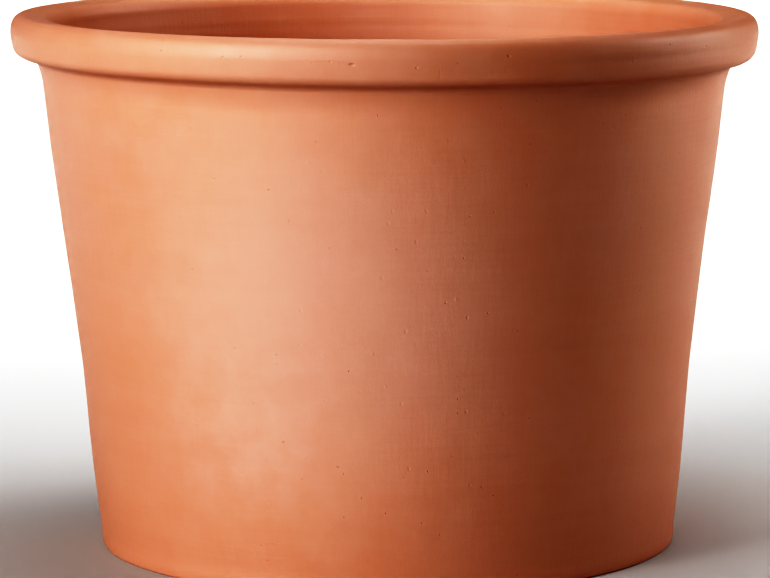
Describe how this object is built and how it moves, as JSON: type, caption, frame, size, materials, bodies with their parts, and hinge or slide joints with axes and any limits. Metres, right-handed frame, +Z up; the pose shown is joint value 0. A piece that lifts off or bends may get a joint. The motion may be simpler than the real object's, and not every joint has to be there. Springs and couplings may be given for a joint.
{
  "type": "terracotta plant pot",
  "caption": "Tapered round terracotta plant pot with a heavy rolled rim, an open mouth and a drainage hole in its floor.",
  "frame": {"origin": "centre of the foot, on the surface that the pot stands on", "axes": "+Z up along the pot's axis, +X and +Y level; the pot is the same all round"},
  "size_m": [0.4, 0.4, 0.2857],
  "materials": {
    "rim_clay": "matt unglazed fired terracotta, wiped smooth with a wet sponge",
    "wall_clay": "matt unglazed fired terracotta, wiped smooth, with faint bloom and fine pits",
    "floor_clay": "matt unglazed fired terracotta with turning rings"
  },
  "bodies": {
    "root": {"rolled_rim": "rim_clay", "wall": "wall_clay", "floor": "floor_clay"}
  },
  "joints": []
}
